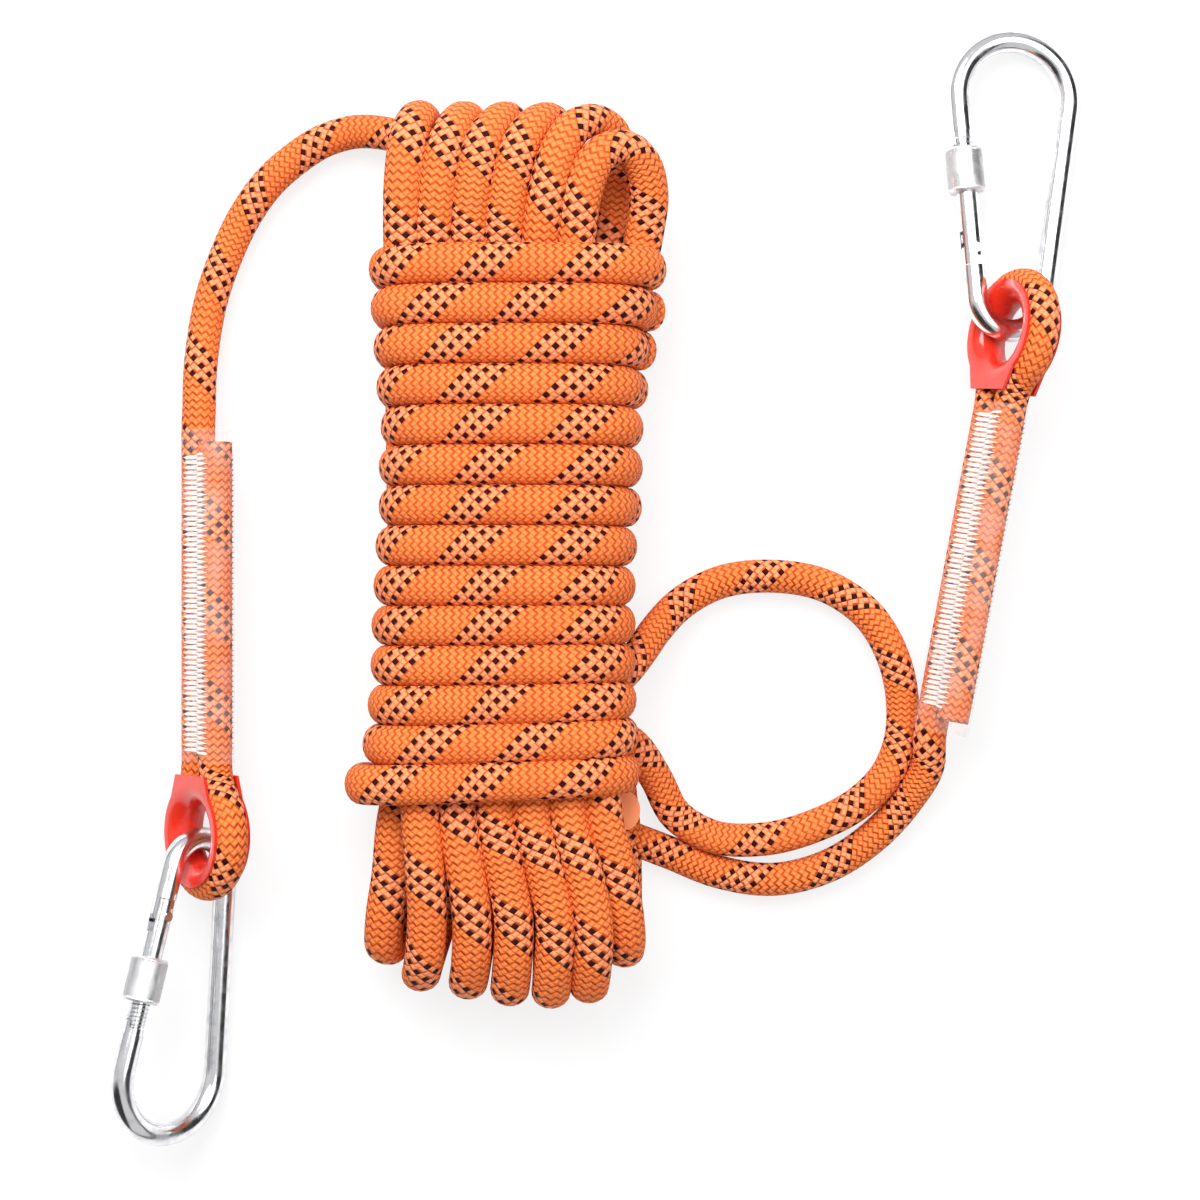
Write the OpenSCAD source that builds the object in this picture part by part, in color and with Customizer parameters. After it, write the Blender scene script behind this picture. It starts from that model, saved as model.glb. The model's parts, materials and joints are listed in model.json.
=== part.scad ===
/* [Rope] */
// Diameter of the rope
rope_d = 10.5; // [9:0.1:11.5]
// Thickness of the braided sheath
sheath_t = 1.3; // [0.8:0.1:1.8]
// Air between the sheath and the core
sheath_gap = 0.05; // [0.02:0.01:0.1]

/* [Hank] */
// Number of strands side by side in the front and back rows
strands = 6; // [4:1:7]
// Air between strands that lie side by side
strand_gap = 0.12; // [0.05:0.01:0.4]
// Height of a strand row's centre above the middle of the hank
row_h = 10.6; // [10:0.1:12]
// Length of the hank from bight to bight
hank_l = 279; // [240:1:320]
// Radius of the rope's centre line round the open end of a bight
bight_r = 15.5; // [14:0.5:18]
// Radius of the flare that leads into a bight
flare_r = 20; // [15:1:30]
// Number of binding wraps
wraps = 14; // [8:1:16]
// Distance from one wrap to the next
wrap_pitch = 12.17; // [11.5:0.05:12.5]
// Thickness of a wrap, which tension flattens
wrap_t = 9.4; // [8.5:0.1:10.5]
// Width across the wraps
wrap_w = 83; // [80:0.5:90]
// Air between the strands and the wraps
wrap_gap = 0.3; // [0.2:0.1:1]
// How far the wraps' middle stands towards the top bights
wrap_y = 8; // [0:0.5:15]

/* [Sewn eyes] */
// Radius of the rope's centre line round the thimble
eye_r = 15.5; // [14:0.25:17]
// Radius of the rope's centre line where the eye closes into the legs
throat_r = 14; // [12:1:18]
// Air between the two legs of the splice
leg_gap = 0.3; // [0.1:0.1:1]
// Distance from the eye's centre to the cut end of the rope
splice_l = 122; // [95:1:130]
// Distance from the eye's centre to the far end of the shrink sleeve
sleeve_end = 126; // [100:1:135]
// Distance from the eye's centre to the near end of the shrink sleeve
sleeve_start = 22.5; // [22.5:0.5:34]
// Wall of the shrink sleeve
sleeve_t = 0.7; // [0.4:0.1:1.2]
// Number of zigzag stitches in a row
stitches = 24; // [12:1:30]
// Thickness of a stitch
stitch_t = 1.1; // [0.6:0.1:1.4]

/* [Thimble] */
// Wall of the thimble between the groove and the hole
thimble_t = 1; // [0.8:0.1:1.6]
// Height of the flanges above the rope's centre line
flange_h = 0.8; // [0.5:0.1:4]
// Half the width of the thimble's neck, where its cheeks end
neck_w = 9; // [7:0.5:12]
// Air between the rope and its groove
groove_gap = 0.05; // [0.02:0.01:0.1]

/* [Carabiner] */
// Diameter of the steel wire
wire_d = 7; // [6.8:0.1:7.4]
// Overall length of the carabiner
clip_l = 99.3; // [94:0.1:110]
// Overall width of the wide end
clip_w = 44; // [40:0.1:47]
// Radius of the wire's centre line round the narrow end
hook_r = 11; // [10.8:0.1:12]

/* [Gate] */
// Outer diameter of the gate tube
gate_d = 6.8; // [6.2:0.1:6.8]
// Distance along the gate line from the hook's bend to the end of the hook
hook_end = 10; // [8:0.5:11]
// Distance along the gate line to the rivet
rivet_at = 15.3; // [15:0.1:17]
// Distance along the gate line to the joint between gate and nose
nose_at = 50.5; // [48:0.5:53]
// Air between the gate's ends and the frame
end_gap = 0.3; // [0.3:0.05:0.5]
// Diameter of the hinge rivet
rivet_d = 3; // [2.4:0.1:3]
// Running clearance of rivet, plunger and nut
run_gap = 0.06; // [0.02:0.01:0.08]
// Thickness of the hook's tongue between the fork's cheeks
tongue_t = 2.6; // [2:0.1:2.8]
// Air on each side of the tongue
tongue_gap = 0.15; // [0.1:0.05:0.2]
// How far the cam circle's centre stands inward from the rivet
cam_e = 1.2; // [0.8:0.1:1.4]
// Radius of the cam circle at the tongue's end
cam_r = 2.5; // [2.4:0.05:2.7]
// Diameter of the spring bore in the gate
bore_d = 4.4; // [4:0.1:4.6]
// Depth of the spring bore from the rivet
bore_l = 18; // [14:0.5:20]
// Length of the plunger
plunger_l = 3; // [2:0.5:4]
// Diameter of the spring's wire
spring_wire = 0.6; // [0.4:0.1:0.8]
// Number of turns in the spring
spring_turns = 7; // [5:1:9]
// Diameter of the gate's threaded stretch at the root of the thread
thread_root_d = 5.9; // [5.6:0.1:6.2]
// Length of the threaded stretch
thread_l = 8.4; // [6:0.1:9]
// Length of the nose between the joint and the shoulder
nose_l = 2; // [1.5:0.1:3]
// Diameter of the nose
nose_d = 6.4; // [6:0.1:6.6]
// Length of the nose's catch in the gate's slot
catch_l = 2.2; // [1.5:0.1:2.5]
// Thickness of the catch
catch_t = 2.4; // [2:0.1:2.6]

/* [Lock nut] */
// Outer diameter of the lock nut
nut_d = 11.5; // [10:0.1:12]
// Length of the lock nut
nut_l = 14; // [12:0.5:15]
// Chamfer at the ends of the lock nut
nut_chamfer = 0.6; // [0.3:0.1:1]
// Thread left bare between the left nut and the shoulder
nut_back_left = 10; // [8:0.1:10.2]
// Thread left bare between the right nut and the shoulder
nut_back_right = 5.3; // [4:0.1:10]

/* [Layout] */
// Roll of the left eye out of the floor's plane, in degrees
roll_left = 53; // [45:1:60]
// Roll of the right eye out of the floor's plane, in degrees
roll_right = 65; // [55:1:70]
// Turn of the right eye's legs away from straight down, in degrees
turn_right = 10.5; // [8:0.5:13]

/* [Hidden] */
$fn = 48;

rope_r = rope_d / 2;
wire_r = wire_d / 2;

// Hank: the floor is at height 0 and the wraps lie on it
hank_mid = [-31.09, 9.92, row_h + rope_r + wrap_gap + wrap_t];
strand_pitch = rope_d + strand_gap;
flare_run = sqrt(pow(bight_r + flare_r, 2) - pow(row_h + flare_r, 2));
flare_turn = acos((row_h + flare_r) / (bight_r + flare_r));
bight_y = hank_l / 2 - bight_r - rope_r;

// Rope routes: points chosen by hand, in millimetres
left_route = [
    [-59.1, 138.4, 12], [-69.6, 142.4, 8], [-79.1, 143.4, 5.6], [-89.1, 140.7, 5.6], [-98.7, 134.7, 5.6],
    [-107.1, 127.1, 5.6], [-114.8, 116.1, 5.6], [-120.8, 103.1, 5.8], [-124.9, 89.9, 7.5],
    [-127.1, 76.4, 9.4], [-127.9, 64.4, 11.6], [-127.9, 55.4, 12.8]
];
loop_route = [
    [-1.1, -32.6, 25], [4.9, -27.6, 22], [10.4, -21.1, 17], [15.4, -14.1, 11.5], [23.2, -6, 7],
    [34.2, 0.3, 5.6], [52.3, 2.8, 5.6], [70.6, -0.9, 5.6], [83, -9.8, 5.6], [90.3, -22.1, 5.6],
    [93.6, -37.6, 5.6], [92.6, -49.6, 7], [88.2, -59.6, 9], [79.9, -68.1, 10], [65.9, -75.6, 10],
    [48.8, -80.1, 9.5], [32.9, -79.1, 9], [21.9, -72.6, 9], [15.4, -60.6, 12], [8.9, -50.6, 18], [0.9, -44.6, 24]
];
tail_route = [
    [-11.1, -74.6, 12], [2.3, -78.1, 8], [19.7, -84.6, 5.6], [34.9, -90.6, 5.6], [52.9, -93.1, 5.6],
    [70.6, -88.6, 5.6], [84.9, -79.1, 5.6], [95.4, -67.1, 7.5], [100.9, -56.6, 11.5]
];

// Sewn eye, in its own frame: centre of the thimble's hole at the origin, legs along +Y, hole along Z
leg_x = (rope_d + leg_gap) / 2;
throat_x = leg_x + throat_r;
throat_y = sqrt(pow(eye_r + throat_r, 2) - pow(throat_x, 2));
throat_turn = atan2(throat_y, throat_x);
stand_l = sleeve_end + 2;
shrink_gap = 0.05;
stitch_h = rope_r - 1.65;
thimble_half = rope_r + thimble_t;
neck_top = eye_r + 3;
LEFT = -1;
RIGHT = 1;

function eye_height(roll) =
    max((eye_r + flange_h) * sin(roll) + thimble_half * cos(roll), eye_r * sin(roll) + rope_r) + 0.05;
function eye_roll(side) = side == LEFT ? -roll_left : roll_right;
function eye_turn(side) = side == LEFT ? 0 : 180 - turn_right;
function eye_centre(side) =
    side == LEFT ? [-124.79, -77.78, eye_height(roll_left)] : [126.61, 78.02, eye_height(roll_right)];
// A point of the eye's own frame, in the part's frame
function eye_point(side, p) =
    let (a = eye_roll(side), t = eye_turn(side),
         q = [p.x * cos(a) + p.z * sin(a), p.y, -p.x * sin(a) + p.z * cos(a)])
    eye_centre(side) + [q.x * cos(t) - q.y * sin(t), q.x * sin(t) + q.y * cos(t), q.z];

// Carabiner, in its own frame: centre of the narrow bend at the origin, spine along -Y at +X
wide_r = clip_w / 2 - wire_r;
spine_l = clip_l - hook_r - wide_r - wire_d;
wide_x = hook_r - wide_r;
gate_turn = 2 * atan2(-wide_x, spine_l);
// Straight stretches of the frame are a hair thinner than its bends, and lap into them
lap = 0.2;
straight_d = wire_d - 0.04;
// How far the narrow bend's centre lies beyond the rope in the thimble
clip_rest = 1.9;
// Turn of the seat round the eye, then the carabiner's tilt, pitch and turn, all in degrees
clip_pose_left = [20.4, 48.8, 1, -3.2];
clip_pose_right = [24.5, 168.1, 6.7, 171.3];

// Gate line: X runs from the hook's bend to the nose and Y points inward
gate_start = hook_end + end_gap;
gate_stop = nose_at - end_gap;
shoulder_at = nose_at + nose_l;
rivet_in = 0.3;
cut_back = 2.5;
slot_stop = rivet_at + 5.5;
plunger_at = rivet_at + cam_r + 0.05;
spring_at = plunger_at + plunger_l;
spring_stop = rivet_at + bore_l;
spring_r = bore_d / 2 - run_gap - spring_wire / 2 - 0.1;
catch_in = 1.2;
gate_r = gate_d / 2;
nut_bore_r = gate_r + run_gap;
far = 60;

// Smooth route through hand-chosen points: two rings to each span
function spline_point(a, b, c, d, t) =
    0.5 * (2 * b + (c - a) * t + (2 * a - 5 * b + 4 * c - d) * t * t
        + (3 * b - a - 3 * c + d) * t * t * t);
function smooth(route) =
    let (n = len(route))
    [for (i = [0 : n - 2], t = [0, 0.5])
        spline_point(route[max(i - 1, 0)], route[i], route[i + 1], route[min(i + 2, n - 1)], t),
     route[n - 1]];

// Faces between ring after ring of a tube whose rings start at a given point
function skin(rings, sides, first = 0, closed = false) =
    [for (i = [0 : rings - (closed ? 1 : 2)], k = [0 : sides - 1])
        let (a = first + i * sides, b = first + (i + 1) % rings * sides, n = (k + 1) % sides)
        each [[a + k, a + n, b + n], [a + k, b + n, b + k]]];
function flipped(faces) = [for (f = faces) [for (i = [len(f) - 1 : -1 : 0]) f[i]]];
function cap(sides, first) = [for (k = [0 : sides - 1]) first + k];

// Rings of points round each point of a route, with their flat sides held level
function rings(route, r, sides) =
    let (n = len(route))
    [for (i = [0 : n - 1])
        let (v = route[min(i + 1, n - 1)] - route[max(i - 1, 0)], along = v / norm(v),
             level = cross([0, 0, 1], along),
             across = norm(level) > 0.01 ? level / norm(level) : [1, 0, 0],
             up = cross(along, across))
        for (k = [0 : sides - 1])
            let (a = 360 * k / sides) route[i] + r * (cos(a) * across + sin(a) * up)];

// Solid cord along a route
module cord(route, d, sides = 12) {
    n = len(route);
    polyhedron(rings(route, d / 2, sides),
        concat(flipped(skin(n, sides)), [cap(sides, 0)], flipped([cap(sides, (n - 1) * sides)])),
        convexity = 10);
}

// Hollow cord along a route
module hollow_cord(route, d, wall, sides = 12) {
    n = len(route);
    inner = n * sides;
    // Ring of faces between the outer and inner edge at an open end
    end = function(first) [for (k = [0 : sides - 1])
        let (a = first + k, b = first + (k + 1) % sides)
        each [[a, b, inner + b], [a, inner + b, inner + a]]];
    polyhedron(
        concat(rings(route, d / 2, sides), rings(route, d / 2 - wall, sides)),
        concat(flipped(skin(n, sides)), skin(n, sides, inner), end(0), flipped(end((n - 1) * sides))),
        convexity = 10);
}

// Straight stretch of a profile along +Y
module straight(l) rotate([-90, 0, 0]) linear_extrude(l) children();

// Bend of a profile round the Z axis, from one direction and through an angle
module bend(r, from, turn) rotate([0, 0, from]) rotate_extrude(angle = turn) translate([r, 0]) children();

// ---------- Hank ----------

// Points along an arc: centre, radius, first direction and angle turned
function arc(c, r, from, turn, steps) =
    [for (i = [0 : steps]) c + r * [cos(from + turn * i / steps), sin(from + turn * i / steps)]];

// Side view of one loop's upper half end: flare out of the row, round the bight and back
function loop_end() =
    concat(
        arc([bight_y - flare_run, -row_h - flare_r], flare_r, 90, -flare_turn, 2),
        arc([bight_y, 0], bight_r, -90 - flare_turn, 180 + 2 * flare_turn, 12),
        arc([bight_y - flare_run, row_h + flare_r], flare_r, -90 + flare_turn, -flare_turn, 2));

// Drops the doubled points where two arcs meet
function distinct(p) = [for (i = [0 : len(p) - 1]) if (norm(p[i] - p[(i + 1) % len(p)]) > 0.01) p[i]];

module hank_loops() {
    side_view = distinct(concat(loop_end(), [for (p = loop_end()) -p]));
    n = len(side_view);
    sides = 10;
    loops = [for (i = [0 : strands - 1])
        let (x = (i - (strands - 1) / 2) * strand_pitch) [for (p = side_view) [x, p.x, p.y]]];
    color("darkorange")
        translate(hank_mid)
            polyhedron(
                [for (l = loops) each loop_rings(l, sides)],
                [for (i = [0 : strands - 1]) each flipped(skin(n, sides, i * n * sides, true))],
                convexity = 20);
}

// Rings round a loop that stays in one plane across X
function loop_rings(loop, sides) =
    let (n = len(loop))
    [for (i = [0 : n - 1])
        let (v = loop[(i + 1) % n] - loop[(i + n - 1) % n], along = v / norm(v),
             up = cross(along, [1, 0, 0]))
        for (k = [0 : sides - 1])
            let (a = 360 * k / sides) loop[i] + rope_r * (cos(a) * [1, 0, 0] + sin(a) * up)];

// Outline across all the wraps: how far out of their middle line, and how far along the hank
function wraps_outline() =
    let (h = wrap_t / 2,
         scallop = [[-0.5, 0.4 * h], [-0.27, h], [0.27, h]],
         side = [for (i = [0 : wraps - 1], q = scallop)
             [q.y, (i - (wraps - 1) / 2 + q.x) * wrap_pitch]],
         last = [0.4 * h, wraps / 2 * wrap_pitch])
    concat(side, [last], [for (p = concat(side, [last])) -p]);

// Wraps round the hank: one closed band of cords that lie against each other
module hank_wraps() {
    half_w = (wrap_w - wrap_t) / 2;
    half_h = row_h + rope_r + wrap_gap + wrap_t / 2;
    corner = rope_r + wrap_gap + wrap_t / 2;
    outline = wraps_outline();
    sides = len(outline);
    // Middle line of a wrap with its outward directions, seen along the hank
    ring = [for (q = [0 : 3], i = [0 : 3])
        let (a = 90 * q + 30 * i, c = [q == 0 || q == 3 ? 1 : -1, q < 2 ? 1 : -1])
        [[c.x * (half_w - corner), c.y * (half_h - corner)], [cos(a), sin(a)]]];
    color("orange")
        translate([hank_mid.x, hank_mid.y + wrap_y, hank_mid.z])
            polyhedron(
                [for (p = ring, o = outline)
                    let (q = p[0] + (corner + o.x) * p[1]) [q.x, o.y, q.y]],
                skin(len(ring), sides, 0, true), convexity = 20);
}

// ---------- Rope outside the hank ----------

module left_tail()
    color("darkorange")
        cord(smooth(concat(left_route, [eye_point(LEFT, [-leg_x, stand_l, 0])])), rope_d);

module right_loop() color("darkorange") cord(smooth(loop_route), rope_d);

module right_tail()
    color("darkorange")
        cord(smooth(concat(tail_route, [eye_point(RIGHT, [leg_x, stand_l, 0])])), rope_d);

// ---------- Sewn eyes ----------

// Puts a piece from the eye's own frame into its place
module at_eye(side)
    translate(eye_centre(side)) rotate([0, 0, eye_turn(side)]) rotate([0, eye_roll(side), 0]) children();

// Route of the rope: cut leg, throat, round the crown, throat, standing leg
function eye_route(side) =
    let (flat = distinct(concat(
        [[-side * leg_x, splice_l]],
        [for (p = arc([throat_x, throat_y], throat_r, 180, throat_turn, 3)) [-side * p.x, p.y]],
        [for (p = arc([0, 0], eye_r, throat_turn, -180 - 2 * throat_turn, 14)) [-side * p.x, p.y]],
        [for (p = arc([throat_x, throat_y], throat_r, 180 + throat_turn, -throat_turn, 3))
            [side * p.x, p.y]],
        [[side * leg_x, stand_l]])))
    [for (p = flat) [p.x, p.y, 0]];

module eye_sheath(side)
    color("darkorange") at_eye(side) hollow_cord(eye_route(side), rope_d, sheath_t);

module eye_core(side)
    color("white") at_eye(side) cord(eye_route(side), rope_d - 2 * (sheath_t + sheath_gap));

// Zigzag seam that lies in the valley between the legs, on both faces of the splice
module stitching(side) {
    first = sleeve_start + 4;
    step = (splice_l - 4 - first) / stitches;
    reach = leg_x - 2;
    edge = [for (i = [0 : stitches]) [(i % 2 * 2 - 1) * reach, first + i * step]];
    band = concat([for (p = edge) p - [stitch_t / 2, 0]],
        [for (i = [stitches : -1 : 0]) edge[i] + [stitch_t / 2, 0]]);
    color("ivory")
        at_eye(side)
            for (m = [0, 1]) mirror([0, 0, m])
                translate([0, 0, stitch_h]) linear_extrude(stitch_t) polygon(band);
}

// Outline round both legs
module legs_outline(r) {
    for (s = [-1, 1]) translate([s * leg_x, 0]) circle(r = r);
    square([2 * leg_x, 2 * r], center = true);
}

module shrink_sleeve(side)
    color("white", 0.5)
        at_eye(side)
            translate([0, sleeve_start, 0])
                straight(sleeve_end - sleeve_start)
                    difference() {
                        legs_outline(rope_r + shrink_gap + sleeve_t);
                        legs_outline(rope_r + shrink_gap);
                    }

// Half section of the thimble's ring: flared hole inside, groove for the rope outside
module ring_section()
    difference() {
        translate([0, -thimble_half]) square([eye_r + flange_h, 2 * thimble_half]);
        difference() {
            translate([-1, -far]) square([eye_r + 1, 2 * far]);
            translate([eye_r, 0]) circle(r = thimble_half);
        }
        groove_section();
    }

// Round-bottomed groove that is open outwards
module groove_section() {
    r = rope_r + groove_gap;
    intersection() {
        translate([eye_r, 0]) circle(r = r);
        translate([0, -r]) square([eye_r, 2 * r]);
    }
    translate([eye_r, -r]) square([far, 2 * r]);
}

// Outline of the cheeks, which narrow from the ring to the legs
module cheek_outline() {
    ring_r = eye_r + flange_h;
    difference() {
        polygon([[-0.8 * ring_r, 0.5 * ring_r], [0.8 * ring_r, 0.5 * ring_r],
            [neck_w, neck_top], [-neck_w, neck_top]]);
        circle(r = eye_r + flange_h / 2);
    }
}

module thimble(side)
    color("orangered")
        at_eye(side) {
            rotate_extrude() ring_section();
            for (m = [0, 1]) mirror([0, 0, m])
                translate([0, 0, rope_r + groove_gap])
                    linear_extrude(thimble_half - rope_r - groove_gap) cheek_outline();
        }

// ---------- Carabiners ----------

// Puts a piece from the carabiner's own frame into its place
module at_clip(side) {
    pose = side == LEFT ? clip_pose_left : clip_pose_right;
    translate(eye_point(side, eye_r * [side * sin(pose[0]), -cos(pose[0]), 0]))
        rotate([0, 0, pose[3]]) rotate([pose[2], 0, 0]) rotate([0, pose[1], 0])
            translate([0, clip_rest, 0]) children();
}

// Puts a piece from the gate line's frame into the carabiner's
module on_gate_line()
    translate(hook_r * [-cos(gate_turn), sin(gate_turn), 0]) rotate([0, 0, -90 - gate_turn]) children();

// Round bar along the gate line
module bar(d, from, to) translate([from, 0, 0]) rotate([0, 90, 0]) cylinder(d = d, h = to - from);

// Flat plate in the carabiner's plane
module plate(t) linear_extrude(t, center = true) children();

module tongue()
    difference() {
        intersection() {
            plate(tongue_t) {
                translate([hook_end - 1, -gate_r]) square([rivet_at - hook_end + 1, gate_d]);
                translate([rivet_at, rivet_in]) circle(r = cam_r - 0.2);
                translate([rivet_at, rivet_in + cam_e]) circle(r = cam_r);
            }
            bar(gate_d, hook_end - 2, plunger_at);
        }
        translate([rivet_at, rivet_in, 0]) cylinder(d = rivet_d, h = far, center = true);
    }

module nose() {
    bar(straight_d, shoulder_at, spine_l + lap);
    bar(nose_d, nose_at, shoulder_at);
    intersection() {
        plate(catch_t)
            translate([nose_at - catch_l, -gate_r]) square([catch_l, gate_r + catch_in]);
        bar(nose_d, nose_at - catch_l, nose_at);
    }
}

module carabiner_frame(side)
    color("silver")
        at_clip(side) {
            bend(hook_r, 0, 180 - gate_turn) circle(d = wire_d);
            translate([hook_r, -spine_l - lap, 0]) straight(spine_l + 2 * lap) circle(d = straight_d);
            translate([wide_x, -spine_l, 0]) bend(wide_r, 180 - gate_turn, 180 + gate_turn) circle(d = wire_d);
            on_gate_line() {
                bar(straight_d, -lap, hook_end);
                tongue();
                nose();
            }
        }

module gate(side)
    color("silver")
        at_clip(side) on_gate_line()
            difference() {
                union() {
                    bar(gate_d, gate_start, gate_stop - thread_l);
                    bar(thread_root_d, gate_stop - thread_l, gate_stop);
                }
                // Fork, cut back on the inner side so that the gate can swing in
                translate([gate_start - 1, -far / 2, -tongue_t / 2 - tongue_gap])
                    cube([slot_stop - gate_start + 1, far, tongue_t + 2 * tongue_gap]);
                translate([gate_start - 1, 0, -far / 2]) cube([cut_back + 1, far, far]);
                translate([rivet_at, rivet_in, 0])
                    cylinder(r = rivet_d / 2 + run_gap, h = far, center = true);
                bar(bore_d, rivet_at + 1, spring_stop);
                // Slot for the catch, open on the outer side
                translate([nose_at - catch_l - end_gap, -far, -catch_t / 2 - tongue_gap])
                    cube([far, far + catch_in + end_gap, catch_t + 2 * tongue_gap]);
            }

module hinge_rivet(side)
    color("gainsboro")
        at_clip(side) on_gate_line()
            translate([rivet_at, rivet_in, 0]) cylinder(d = rivet_d, h = gate_d + 0.3, center = true);

// Rings round a helix that winds about the X axis
function coil_rings(route, sides) =
    [for (p = route)
        let (out = [0, p.y, p.z] / norm([0, p.y, p.z]))
        for (k = [0 : sides - 1])
            let (a = 360 * k / sides) p + spring_wire / 2 * (cos(a) * out + sin(a) * [1, 0, 0])];

module gate_spring(side) {
    sides = 6;
    steps = 10;
    turns = spring_turns * steps;
    run = spring_stop - spring_at - spring_wire;
    route = [for (i = [0 : turns])
        [spring_at + spring_wire / 2 + run * i / turns,
            spring_r * cos(360 * i / steps), spring_r * sin(360 * i / steps)]];
    color("dimgray")
        at_clip(side) on_gate_line()
            polyhedron(coil_rings(route, sides),
                concat(skin(turns + 1, sides), flipped([cap(sides, 0)]), [cap(sides, turns * sides)]),
                convexity = 10);
}

module gate_plunger(side)
    color("gray")
        at_clip(side) on_gate_line() bar(bore_d - 2 * run_gap, plunger_at, plunger_at + plunger_l);

// Sleeve nut on the gate, drawn back from the shoulder
module lock_nut(side) {
    back = side == LEFT ? nut_back_left : nut_back_right;
    r = nut_d / 2;
    color("lightgray")
        at_clip(side) on_gate_line()
            translate([shoulder_at - back - nut_l, 0, 0]) rotate([0, 90, 0])
                rotate_extrude()
                    polygon([[nut_bore_r, 0], [r - nut_chamfer, 0], [r, nut_chamfer],
                        [r, nut_l - nut_chamfer], [r - nut_chamfer, nut_l], [nut_bore_r, nut_l]]);
}

hank_loops();
hank_wraps();
left_tail();
right_loop();
right_tail();
eye_sheath(LEFT);  // left_eye_sheath
eye_core(LEFT);  // left_eye_core
stitching(LEFT);  // left_stitching
shrink_sleeve(LEFT);  // left_shrink_sleeve
thimble(LEFT);  // left_thimble
carabiner_frame(LEFT);  // left_carabiner_frame
gate(LEFT);  // left_gate
hinge_rivet(LEFT);  // left_hinge_rivet
gate_spring(LEFT);  // left_gate_spring
gate_plunger(LEFT);  // left_gate_plunger
lock_nut(LEFT);  // left_lock_nut
eye_sheath(RIGHT);  // right_eye_sheath
eye_core(RIGHT);  // right_eye_core
stitching(RIGHT);  // right_stitching
shrink_sleeve(RIGHT);  // right_shrink_sleeve
thimble(RIGHT);  // right_thimble
carabiner_frame(RIGHT);  // right_carabiner_frame
gate(RIGHT);  // right_gate
hinge_rivet(RIGHT);  // right_hinge_rivet
gate_spring(RIGHT);  // right_gate_spring
gate_plunger(RIGHT);  // right_gate_plunger
lock_nut(RIGHT);  // right_lock_nut
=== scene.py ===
"""Dynamic climbing rope bound into a hank, with a sewn eye and a screw-lock carabiner at each end.

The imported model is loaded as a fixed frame. The classes below dress it: the rope itself with its
braided sheath, the sewn eyes with their stitching and clear sleeves, and the carabiners with their
threads and knurled nuts. All sizes are in millimetres until they become vertices.
"""
import json
import logging
import math
from dataclasses import dataclass
from enum import Enum
from typing import Callable, Sequence

import bmesh
import bpy
import numpy as np
from mathutils import Matrix, Vector


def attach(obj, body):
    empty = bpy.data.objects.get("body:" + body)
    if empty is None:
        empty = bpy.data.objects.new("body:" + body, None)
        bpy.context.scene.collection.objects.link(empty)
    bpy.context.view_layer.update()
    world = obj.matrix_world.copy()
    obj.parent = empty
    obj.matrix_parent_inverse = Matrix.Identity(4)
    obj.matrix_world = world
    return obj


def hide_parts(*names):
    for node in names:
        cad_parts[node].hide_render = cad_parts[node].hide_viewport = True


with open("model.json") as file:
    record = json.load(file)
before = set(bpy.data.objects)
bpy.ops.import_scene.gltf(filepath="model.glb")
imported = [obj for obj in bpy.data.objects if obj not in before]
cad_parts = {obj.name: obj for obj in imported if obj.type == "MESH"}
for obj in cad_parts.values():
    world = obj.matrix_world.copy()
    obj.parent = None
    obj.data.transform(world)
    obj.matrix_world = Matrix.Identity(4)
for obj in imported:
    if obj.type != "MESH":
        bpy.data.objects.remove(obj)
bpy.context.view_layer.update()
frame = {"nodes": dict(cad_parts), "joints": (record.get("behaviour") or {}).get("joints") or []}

MM = 0.001
log = logging.getLogger("climbing_rope")

# The sheath's braid: yarns of one hand round the rope, length of a cell along it, where the middle
# of a black band lies among the yarns, and the last yarn of a band
CARRIERS, CELL, BAND, BAND_STOP = 12.0, 2.333, 2.5, 4

FLOAT, VECTOR = "NodeSocketFloat", "NodeSocketVector"

Point = Sequence[float]
Route = Sequence[Point]
Object, Material = bpy.types.Object, bpy.types.Material
Tree, Node, Socket = bpy.types.NodeTree, bpy.types.Node, bpy.types.NodeSocket


class Side(Enum):
    """Which end of the rope a piece belongs to."""

    LEFT = "left"
    RIGHT = "right"


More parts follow.
